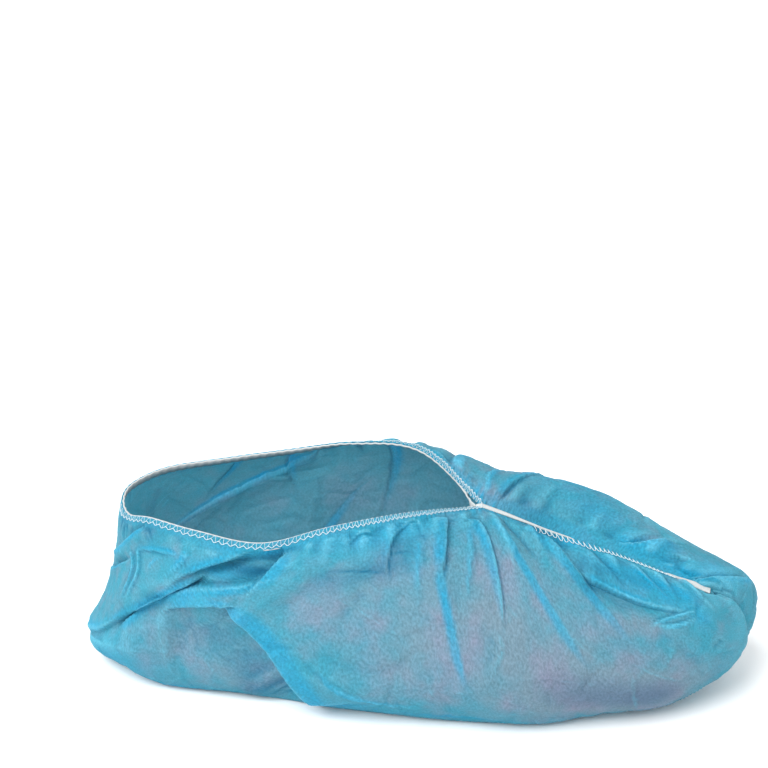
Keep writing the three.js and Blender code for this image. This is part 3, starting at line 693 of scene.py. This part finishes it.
mouthBand = {
    "width": 3.6,
    "thickness": 0.75,
    "lift": 0.3,             # how far its edge stands above the cloth
    "gap": 0.15,
    "sections": 460,
    "setback": 1.6,          # how far its turn stays behind the point of the mouth
    "turnReach": 0.22,
    "puckerMm": 0.16,
    "puckers": 92,
}


# loop station of the rim at r: from the point of the mouth back along the near side to the heel, then forward
# along the far side
def rimStation(r):
    return np.where(r <= apexStation, apexStation - r, loopStations + apexStation - r)


# places r that are evenly spaced along the rim
def evenRim(count):
    fine = np.linspace(0, 2 * apexStation, 2801)
    points = smoothWall(rimStation(fine), 0 * fine)
    length = np.concatenate([[0], np.cumsum(np.linalg.norm(np.diff(points, axis=0), axis=1))])
    return np.interp(np.arange(count) / count * length[-1], length, fine)


# mouth band: a rounded flat section carried round the rim, on the inside of the cloth
def makeMouthBand():
    count = mouthBand["sections"]
    r = evenRim(count)
    s = rimStation(r)
    rim = smoothWall(s, 0 * s)
    normal, _, down = wallFrame(s, 0 * s + 0.005)
    turn = np.exp(-(np.minimum(r, 2 * apexStation - r) / mouthBand["turnReach"])**2)[:, None]
    rim = rim - turn * [mouthBand["setback"], 0, 0]
    normal = unitRows(normal * (1 - turn) + turn * [1, 0, 0.35])
    down = unitRows(down * (1 - turn) + turn * [0, 0, -1])
    thick, wide = mouthBand["thickness"], mouthBand["width"]
    inset = cover["thickness"] / mm + mouthBand["gap"]
    depth = np.array([0, 0.5, 1, 1, 1, 0.5, 0, 0]) * thick + inset
    height = np.array([0.0, -0.12, 0, 0.5 * wide, wide, wide + 0.12, wide, 0.5 * wide]) - mouthBand["lift"]
    pucker = np.sin(np.arange(count) / count * 2 * math.pi * mouthBand["puckers"]) * mouthBand["puckerMm"]
    sections = rim[:, None] - normal[:, None] * (depth[:, None] + pucker[:, None, None])
    sections = sections + down[:, None] * height[:, None]
    return sectionSurface("mouthElastic", [sections * mm], True)


bandPiece = makeMouthBand()
print("mouth elastic made")

vampStrip = {
    "thickness": 0.6,
    "from": 6.92,            # starts on the mouth band, behind the point of the mouth
    "to": 10.98,
    "sections": 170,
}
# station, width in mm, roll in degrees from lying flat, height of its middle over the seam
stripTable = np.array([
    (6.9, 1.8, 0.0, 0.0),
    (7.0, 2.4, 4.0, 0.5),
    (7.4, 1.9, 8.0, 0.8),
    (7.75, 1.2, 15.0, 0.7),
    (8.0, 1.0, 45.0, 0.4),
    (8.35, 0.9, 70.0, 0.1),
    (8.5, 0.9, 80.0, -0.9),
    (9.75, 0.9, 80.0, -0.9),
    (9.85, 1.1, 75.0, 0.1),
    (10.05, 1.3, 60.0, 0.4),
    (10.3, 2.0, 30.0, 0.8),
    (10.6, 3.4, 8.0, 1.3),
    (11.0, 4.3, 4.0, 1.8)])


# vamp strip: a flat section carried along the seam, rolled up on its edge in the middle
def makeVampStrip():
    s = np.linspace(vampStrip["from"], vampStrip["to"], vampStrip["sections"])
    onSeam = np.maximum(s, apexStation + 0.01)
    seam = smoothWall(onSeam, 0 * s) + (s - onSeam)[:, None] * [cover["stationMm"], 0, 0]
    ahead = pathDirections(seam, False)
    nearNormal, _, _ = wallFrame(onSeam, 0 * s + 0.004)
    farNormal, _, _ = wallFrame(loopStations - onSeam, 0 * s + 0.004)
    up = unitRows(nearNormal + farNormal)
    up = unitRows(up - (up * ahead).sum(-1, keepdims=True) * ahead)
    side = np.cross(up, ahead)
    width, roll, over = (np.interp(s, stripTable[:, 0], stripTable[:, k])[:, None] for k in (1, 2, 3))
    roll = np.radians(roll)
    across = side * np.cos(roll) + up * np.sin(roll)
    face = up * np.cos(roll) - side * np.sin(roll)
    middle = seam + up * over
    half, thin = width / 2, vampStrip["thickness"] / 2
    a = np.array([-1, -0.5, 0.5, 1, 1, 0.5, -0.5, -1])[None, :, None]
    b = np.array([-0.6, -1, -1, -0.6, 0.6, 1, 1, 0.6])[None, :, None]
    sections = middle[:, None] + across[:, None] * half[:, None] * a + face[:, None] * thin * b
    return sectionSurface("vampElastic", [sections[:, ::-1] * mm], False)


stripPiece = makeVampStrip()
print("vamp elastic made")

overlock = {
    "loosePitch": 3.6,       # mm from stitch to stitch at the heel
    "closePitch": 2.0,       # the same where the rim is gathered
    "gathered": (4.4, 5.8),  # stations between which the stitches close up
    "depth": 2.1,            # how far the chain lies below the edge
    "chainRadius": 0.13,
    "loopRadius": 0.09,
    "chainWave": 0.24,       # share of the depth by which the chain swings
    "samples": 14,
    "clear": 0.1,
    "wander": 0.14,          # share of the depth by which single stitches differ
    "seamEnds": (7.85, 9.95),
    "seamChange": (8.6, 8.9),
    "seamRadius": 0.14,
    "openPitch": 2.5,        # wide loops near the mouth, then short close ones
    "tightPitch": 1.9,
    "openDepth": 4.4,
    "tightDepth": 2.6,
}


# a setting that changes along the row: the first value at share 0, the second at share 1
def between(first, second, share):
    return overlock[first] + (overlock[second] - overlock[first]) * share


# stitches counted along a row whose pitch in mm varies: the count t and the place on the row at each sample
def stitchRow(place, points, pitch):
    step = np.linalg.norm(np.diff(points, axis=0), axis=1) / ((pitch[1:] + pitch[:-1]) / 2)
    turns = np.concatenate([[0], np.cumsum(step)])
    count = int(round(turns[-1]))
    t = np.arange(count * overlock["samples"]) / overlock["samples"]
    return t, np.interp(t, turns * count / turns[-1], place), rng.normal(0, overlock["wander"], count + 1)


# thread on the sheet: a path of stations and depths below the top edge in mm, laid just above the cloth
def layThread(s, depth, radius, closed):
    speed = np.linalg.norm(sheetPoint(s, 0 * s + 0.03) - sheetPoint(s, 0 * s), axis=-1) / 0.03
    normal, _, down = wallFrame(s, 0 * s + 0.01)
    path = sheetPoint(s, np.clip(depth, 0, None) / speed) + normal * (overlock["clear"] + radius)
    path = path + down * np.clip(depth, None, 0)[:, None]
    return threadRings(path * mm, normal, (radius + 0 * s) * mm, closed)


# one row of overlock: a wavy chain below the edge, and a thinner thread that loops from it over the edge
def overlockStrands(t, s, depth, differ, closed):
    phase = np.mod(t, 1)
    own = np.interp(t, np.arange(len(differ)), differ)
    chain = depth * (1 + overlock["chainWave"] * np.sin(2 * math.pi * t) + 0.6 * own)
    up = easeStep(0.06, 0.36, phase) * (1 - easeStep(0.52, 0.86, phase))
    loop = chain * (1 - up) - 0.1 * up
    paths = [(chain, overlock["chainRadius"]), (loop, overlock["loopRadius"])]
    return [layThread(s, path, radius, closed) for path, radius in paths]


# overlock all round the rim, closer where the rim is gathered
def makeRimStitches():
    r = np.linspace(0, 2 * apexStation, 4001)
    side = fromHeel(rimStation(r))
    pitch = between("loosePitch", "closePitch", easeStep(*overlock["gathered"], side))
    t, r, differ = stitchRow(r, smoothWall(rimStation(r), 0 * r), pitch)
    differ[-1] = differ[0]
    strands = overlockStrands(t, rimStation(r), overlock["depth"], differ, True)
    return sectionSurface("rimOverlock", strands, True)


# loops that hang from the seam in a row: down, along the bottom and up again
def makeSeamStitches():
    s = np.linspace(*overlock["seamEnds"], 2001)
    pitch = between("openPitch", "tightPitch", easeStep(*overlock["seamChange"], s))
    t, s, differ = stitchRow(s, smoothWall(s, 0 * s), pitch)
    depth = between("openDepth", "tightDepth", easeStep(*overlock["seamChange"], s))
    own = np.interp(t, np.arange(len(differ)), differ)
    hang = depth * (1 - np.abs(2 * np.mod(t, 1) - 1)**4) * (1 + 0.5 * own) - 0.3
    return sectionSurface("vampOverlock", [layThread(s, hang, overlock["seamRadius"], False)], False)


rimThread = makeRimStitches()
seamThread = makeSeamStitches()
print("overlock stitches made")


# sRGB hex to linear colour
def hexColor(code):
    value = np.array([int(code[k:k + 2], 16) for k in (1, 3, 5)]) / 255
    linear = np.where(value <= 0.04045, value / 12.92, ((value + 0.055) / 1.055)**2.4)
    return (*linear.tolist(), 1.0)


# adds a node with its settings and links, and gives its named output or else the first one in use
def addNode(tree, kind, settings=(), inputs=(), links=(), output=None):
    node = tree.nodes.new("ShaderNode" + kind)
    for key, value in dict(settings).items():
        setattr(node, key, value)
    for key, value in dict(inputs).items():
        node.inputs[key].default_value = value
    for key, socket in dict(links).items():
        tree.links.new(socket, node.inputs[key])
    return node.outputs[output] if output else next((way for way in node.outputs if way.enabled), None)


# material with an empty node tree
def newMaterial(name):
    material = bpy.data.materials.new(name)
    material.use_nodes = True
    material.node_tree.nodes.clear()
    return material, material.node_tree


nonwoven = {
    "doubled": "#22B0D4",    # two layers, one layer, one drawn tight, and painted shade for the strongest tight patches, on the lower toe
    "single": "#4CAAC0",
    "tight": "#8AA4B3",
    "paintedLowShade": "#72869F",
    "blotch": "#A29FB6",     # greyer places of tight cloth
    "paintedShade": "#1F7FA4",       # painted shade in the valleys and the deep places between folds
    "edge": "#78D2E8",       # painted highlight along the crests, where the fold also shows its edge
    "lit": "#80C8D6",        # colour of the light that comes through one layer, and through two
    "litDoubled": "#3CBEE2",
    "bondPitch": 1.3 * mm,   # from pressed point to pressed point
    "fibre": 0.8 * mm,       # bunches of fibres, drawn coarse because single ones are too fine to show
    "cloud": 9.0 * mm,
    "blotchSize": 15.0 * mm,
    "ruffle": (2.0 * mm, 16.0 * mm),   # width and length of the fine ruffles
    "through": 0.45,         # share of the light that comes through
    "gaps": 0.06,            # share of open gaps between the fibres
}


# spunbond polypropylene: melt-spun fibres laid at random and pressed together at small points.
# The eye sees a matte sheet that lets light through, cloudy where the fibres bunch, paler and greyer where
# it is drawn tight and a deeper blue where it lies double. Painted highlights lie along its crests, painted
# shade in its valleys, deep places and lower toe
def spunbondPolypropylene():
    material, tree = newMaterial("spunbondPolypropylene")
    uv = addNode(tree, "UVMap", {"uv_map": "sheetUv"})
    tight = addNode(tree, "Attribute", {"attribute_name": "tightnessAndShade"}, output="Fac")
    doubled = addNode(tree, "Attribute", {"attribute_name": "doubled"}, output="Fac")
    gathered = addNode(tree, "Attribute", {"attribute_name": "gathered"}, output="Fac")
    bend = addNode(tree, "Attribute", {"attribute_name": "bend"}, output="Fac")
    cloud = addNode(tree, "TexNoise", {}, {"Scale": 1 / nonwoven["cloud"], "Detail": 5.0}, {"Vector": uv})
    turned = addNode(tree, "Mapping", {}, {"Scale": (1.0, 0.75, 1.0), "Rotation": (0, 0, 0.6)},
                     {"Vector": uv})
    fibre = addNode(tree, "TexNoise", {}, {"Scale": 1 / nonwoven["fibre"], "Detail": 3.0, "Roughness": 0.7},
                    {"Vector": turned})
    bond = addNode(tree, "TexVoronoi", {"feature": "F1"},
                   {"Scale": 1 / nonwoven["bondPitch"], "Randomness": 0.35}, {"Vector": uv})
    patchy = addNode(tree, "Math", {"operation": "MULTIPLY_ADD"}, {1: 1.2}, {0: cloud, 2: tight})
    tone = addNode(tree, "MapRange", {}, {"From Min": 0.5, "From Max": 1.45}, {"Value": patchy})
    sheet = addNode(tree, "Mix", {"data_type": "RGBA"},
                    {"A": hexColor(nonwoven["single"]), "B": hexColor(nonwoven["tight"])},
                    {"Factor": tone})
    blotch = addNode(tree, "TexNoise", {}, {"Scale": 1 / nonwoven["blotchSize"], "Detail": 4.0},
                     {"Vector": turned})
    blotched = addNode(tree, "MapRange", {}, {"From Min": 0.44, "From Max": 0.64, "To Max": 0.85},
                       {"Value": blotch})
    blotched = addNode(tree, "Math", {"operation": "MULTIPLY"}, {}, {0: blotched, 1: tone})
    sheet = addNode(tree, "Mix", {"data_type": "RGBA"}, {"B": hexColor(nonwoven["blotch"])},
                    {"Factor": blotched, "A": sheet})
    # painted shade where the tightness is above 1, on the lower toe
    lowShadeMask = addNode(tree, "MapRange", {}, {"From Min": 0.9, "From Max": 1.6}, {"Value": tight})
    sheet = addNode(tree, "Mix", {"data_type": "RGBA"}, {"B": hexColor(nonwoven["paintedLowShade"])},
                    {"Factor": lowShadeMask, "A": sheet})
    thick = addNode(tree, "MapRange", {}, {"From Min": 0.3, "From Max": 0.65, "To Min": 0.45},
                    {"Value": cloud})
    overlap = addNode(tree, "Math", {"operation": "MULTIPLY"}, {}, {0: doubled, 1: thick})
    streak = addNode(tree, "Mapping", {},
                     {"Scale": (1 / nonwoven["ruffle"][0], 1 / nonwoven["ruffle"][1], 1.0)},
                     {"Vector": uv})
    ruffle = addNode(tree, "TexNoise", {}, {"Scale": 1.0, "Detail": 2.0}, {"Vector": streak})
    crest = addNode(tree, "MapRange", {}, {"From Min": 0.4, "From Max": 0.62}, {"Value": ruffle})
    raised = addNode(tree, "Math", {"operation": "MULTIPLY"}, {}, {0: gathered, 1: crest})
    layers = addNode(tree, "Math", {"operation": "MAXIMUM"}, {}, {0: overlap, 1: raised})
    layered = addNode(tree, "Mix", {"data_type": "RGBA"}, {"B": hexColor(nonwoven["doubled"])},
                      {"Factor": layers, "A": sheet})
    # painted highlight on the sharp crests, from the bend attribute
    crestHighlight = addNode(tree, "MapRange", {}, {"From Min": 0.15, "From Max": 0.9, "To Max": 0.65},
                     {"Value": bend})
    withPaintedLight = addNode(tree, "Mix", {"data_type": "RGBA"}, {"B": hexColor(nonwoven["edge"])},
                    {"Factor": crestHighlight, "A": layered})
    # painted shade in the valleys and the deep places, from the bend attribute
    valleyShade = addNode(tree, "MapRange", {}, {"From Min": -0.15, "From Max": -1.7, "To Max": 0.85},
                       {"Value": bend})
    withPaintedLight = addNode(tree, "Mix", {"data_type": "RGBA"}, {"B": hexColor(nonwoven["paintedShade"])},
                    {"Factor": valleyShade, "A": withPaintedLight})
    speck = addNode(tree, "MapRange", {},
                    {"From Min": 0.38, "From Max": 0.62, "To Min": 0.74, "To Max": 1.18},
                    {"Value": fibre})
    color = addNode(tree, "VectorMath", {"operation": "SCALE"}, {}, {"Vector": withPaintedLight, "Scale": speck})
    relief = addNode(tree, "Math", {"operation": "MULTIPLY_ADD"}, {1: 0.6}, {0: fibre, 2: bond})
    bump = addNode(tree, "Bump", {}, {"Strength": 0.3, "Distance": 0.15 * mm}, {"Height": relief})
    bump = addNode(tree, "Bump", {}, {"Strength": 0.8, "Distance": 0.9 * mm},
                   {"Height": raised, "Normal": bump})
    body = addNode(tree, "BsdfPrincipled", {},
                   {"Roughness": 0.72, "IOR": 1.49, "Specular IOR Level": 0.2, "Sheen Weight": 0.05},
                   {"Base Color": color, "Normal": bump})
    passing = addNode(tree, "Mix", {"data_type": "RGBA"},
                      {"A": hexColor(nonwoven["lit"]), "B": hexColor(nonwoven["litDoubled"])},
                      {"Factor": layers})
    # the light that comes through also gets the painted valley shade
    passing = addNode(tree, "Mix", {"data_type": "RGBA"}, {"B": hexColor(nonwoven["paintedShade"])},
                      {"Factor": valleyShade, "A": passing})
    glow = addNode(tree, "BsdfTranslucent", {}, {}, {"Color": passing, "Normal": bump})
    lit = addNode(tree, "MixShader", {}, {0: nonwoven["through"]}, {1: body, 2: glow})
    gap = addNode(tree, "BsdfTransparent")
    whole = addNode(tree, "MixShader", {}, {0: nonwoven["gaps"]}, {1: lit, 2: gap})
    addNode(tree, "OutputMaterial", {}, {}, {"Surface": whole})
    return material


elasticTape = {"white": "#CBCECD", "grey": "#A0A5A6", "rib": 0.55 * mm}


# braided polyester over rubber: the eye sees a flat matte off-white tape with a fine grain, drawn a little
# coarser than the real braid so that it shows
def braidedElastic():
    material, tree = newMaterial("braidedElastic")
    place = addNode(tree, "TexCoord", output="Object")
    grain = addNode(tree, "TexNoise", {}, {"Scale": 1 / elasticTape["rib"], "Detail": 2.0},
                    {"Vector": place})
    color = addNode(tree, "Mix", {"data_type": "RGBA"},
                    {"A": hexColor(elasticTape["grey"]), "B": hexColor(elasticTape["white"])},
                    {"Factor": grain})
    bump = addNode(tree, "Bump", {}, {"Strength": 0.4, "Distance": 0.2 * mm}, {"Height": grain})
    body = addNode(tree, "BsdfPrincipled", {}, {"Roughness": 0.7, "Specular IOR Level": 0.3},
                   {"Base Color": color, "Normal": bump})
    addNode(tree, "OutputMaterial", {}, {}, {"Surface": body})
    return material


threadYarn = {"white": "#E4EBEB", "shade": "#A6C6D1", "ply": 0.5 * mm}


# textured polyester yarn: the eye sees soft white thread, bluish in its shade, with its twist drawn coarse so
# that it shows
def texturedPolyester():
    material, tree = newMaterial("texturedPolyester")
    place = addNode(tree, "TexCoord", output="Object")
    ply = addNode(tree, "TexNoise", {}, {"Scale": 1 / threadYarn["ply"], "Detail": 1.0}, {"Vector": place})
    color = addNode(tree, "Mix", {"data_type": "RGBA"},
                    {"A": hexColor(threadYarn["shade"]), "B": hexColor(threadYarn["white"])},
                    {"Factor": ply})
    body = addNode(tree, "BsdfPrincipled", {}, {"Roughness": 0.6, "Sheen Weight": 0.2},
                   {"Base Color": color})
    addNode(tree, "OutputMaterial", {}, {}, {"Surface": body})
    return material


elasticMaterial = braidedElastic()
threadMaterial = texturedPolyester()
coverPiece.data.materials.append(spunbondPolypropylene())
for piece in (bandPiece, stripPiece):
    piece.data.materials.append(elasticMaterial)
for piece in (rimThread, seamThread):
    piece.data.materials.append(threadMaterial)
print("materials made")

wall = coverPiece.modifiers.new("sheetThickness", "SOLIDIFY")
wall.thickness = cover["thickness"]
wall.offset = -1.0
wall.use_rim = True

studio = {
    "floor": "#FAFAFA",
    "floorHalf": 4.0,
    "floorDrop": 0.6 * mm,   # room between the sole and the floor
    "worldLight": 1.0,
    "keyStrength": 3.1,
    "keyFrom": (-0.6, -0.6, 1.15),
    "keySoftness": 50.0,     # degrees of sky that the key light fills
}


# one broad soft light, high on the heel side
def keyLight():
    data = bpy.data.lights.new("keyLight", "SUN")
    data.energy, data.angle = studio["keyStrength"], math.radians(studio["keySoftness"])
    lamp = bpy.data.objects.new("keyLight", data)
    lamp.matrix_world = (-Vector(studio["keyFrom"])).to_track_quat("-Z", "Y").to_matrix().to_4x4()
    bpy.context.collection.objects.link(lamp)


# plain pale floor just under the sole, and white light all round
def setStudio():
    half, low = studio["floorHalf"], -studio["floorDrop"]
    corners = np.array([(-half, -half, low), (half, -half, low), (half, half, low), (-half, half, low)])
    floor = newObject("paleFloor", corners, [(0, 1, 2, 3)])
    material, tree = newMaterial("paleFloorPaint")
    body = addNode(tree, "BsdfPrincipled", {}, {"Base Color": hexColor(studio["floor"]), "Roughness": 0.9})
    addNode(tree, "OutputMaterial", {}, {}, {"Surface": body})
    floor.data.materials.append(material)
    keyLight()
    world = bpy.data.worlds.new("studioWorld")
    world.use_nodes = True
    background = world.node_tree.nodes["Background"]
    background.inputs["Color"].default_value = (1.0, 1.0, 1.0, 1.0)
    background.inputs["Strength"].default_value = studio["worldLight"]
    bpy.context.scene.world = world
    bpy.context.scene.view_settings.view_transform = "Standard"


setStudio()
print("studio set")

for piece in (coverPiece, bandPiece, stripPiece, rimThread, seamThread):
    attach(piece, "root")
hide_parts("fabric_cover")
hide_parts("mouth_elastic")
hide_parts("vamp_elastic")
